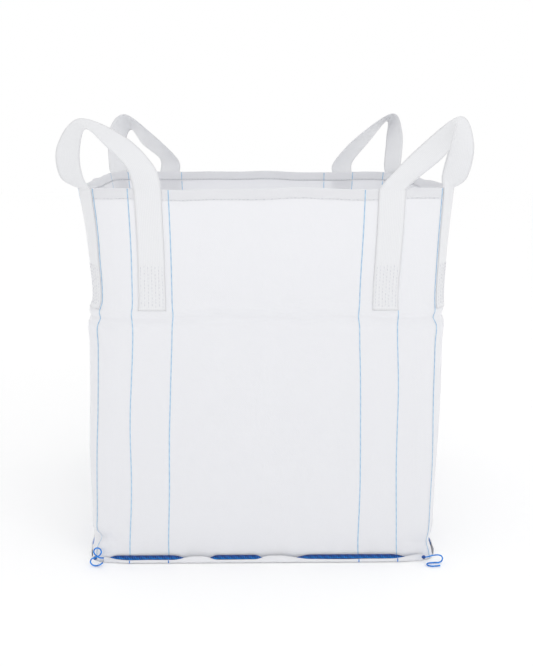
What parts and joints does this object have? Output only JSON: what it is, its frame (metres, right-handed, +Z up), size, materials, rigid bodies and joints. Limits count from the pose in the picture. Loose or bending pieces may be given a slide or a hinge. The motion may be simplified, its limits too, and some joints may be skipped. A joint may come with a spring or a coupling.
{
  "type": "bulk bag",
  "caption": "Open-top woven bulk bag with a square sewn base, hemmed rim, marker threads and cross-corner webbing lift loops that fold in and out.",
  "frame": {"origin": "middle of the base panel's underside", "axes": "+Z up through the open mouth, -Y out of the front panel, +X to the right seen from the front"},
  "size_m": [0.9896, 1.043, 1.1435],
  "materials": {
    "woven_white": "flat-woven polypropylene tape, faint satin sheen",
    "base_white": "flat-woven polypropylene tape, matt",
    "webbing": "ribbed woven polypropylene webbing",
    "white_thread": "twisted sewing thread",
    "blue_thread": "twisted sewing and marker yarn"
  },
  "bodies": {
    "bag": {"body_tube": "woven_white", "rim_hem": "woven_white", "hem_stitch": "white_thread", "base_panel": "base_white", "seam_lip_front": "woven_white", "seam_stitch_front": "blue_thread", "seam_lip_right": "woven_white", "seam_stitch_right": "blue_thread", "seam_lip_back": "woven_white", "seam_stitch_back": "blue_thread", "seam_lip_left": "woven_white", "seam_stitch_left": "blue_thread", "loop_leg_panel_front_left": "webbing", "leg_stitch_panel_front_left": "white_thread", "loop_leg_side_front_left": "webbing", "leg_stitch_side_front_left": "white_thread", "marker_a_front_left": "blue_thread", "marker_b_front_left": "blue_thread", "marker_c_front_left": "blue_thread", "marker_d_front_left": "blue_thread", "loop_leg_panel_front_right": "webbing", "leg_stitch_panel_front_right": "white_thread", "loop_leg_side_front_right": "webbing", "leg_stitch_side_front_right": "white_thread", "marker_a_front_right": "blue_thread", "marker_b_front_right": "blue_thread", "marker_c_front_right": "blue_thread", "marker_d_front_right": "blue_thread", "loop_leg_panel_back_left": "webbing", "leg_stitch_panel_back_left": "white_thread", "loop_leg_side_back_left": "webbing", "leg_stitch_side_back_left": "white_thread", "marker_a_back_left": "blue_thread", "marker_b_back_left": "blue_thread", "marker_c_back_left": "blue_thread", "marker_d_back_left": "blue_thread", "loop_leg_panel_back_right": "webbing", "leg_stitch_panel_back_right": "white_thread", "loop_leg_side_back_right": "webbing", "leg_stitch_side_back_right": "white_thread", "marker_a_back_right": "blue_thread", "marker_b_back_right": "blue_thread", "marker_c_back_right": "blue_thread", "marker_d_back_right": "blue_thread", "thread_tail_left": "blue_thread", "thread_tail_right": "blue_thread"},
    "lift_loop_front_left": {"loop_strap_front_left": "webbing"},
    "lift_loop_front_right": {"loop_strap_front_right": "webbing"},
    "lift_loop_back_left": {"loop_strap_back_left": "webbing"},
    "lift_loop_back_right": {"loop_strap_back_right": "webbing"}
  },
  "joints": [
    {"name": "loop_hinge_front_left", "type": "hinge", "parent": "bag", "child": "lift_loop_front_left", "pos_m": [-0.36765, -0.42492, 1.004], "axis": [0.8943, -0.4475, 0], "range_deg": [-75, 70], "stiffness_Nm_per_rad": 0.6},
    {"name": "loop_hinge_front_right", "type": "hinge", "parent": "bag", "child": "lift_loop_front_right", "pos_m": [0.36765, -0.42492, 1.004], "axis": [0.8943, 0.4475, 0], "range_deg": [-75, 70], "stiffness_Nm_per_rad": 0.6},
    {"name": "loop_hinge_back_left", "type": "hinge", "parent": "bag", "child": "lift_loop_back_left", "pos_m": [-0.36765, 0.42492, 1.004], "axis": [-0.8943, -0.4475, 0], "range_deg": [-75, 70], "stiffness_Nm_per_rad": 0.6},
    {"name": "loop_hinge_back_right", "type": "hinge", "parent": "bag", "child": "lift_loop_back_right", "pos_m": [0.36765, 0.42492, 1.004], "axis": [-0.8943, 0.4475, 0], "range_deg": [-75, 70], "stiffness_Nm_per_rad": 0.6}
  ]
}
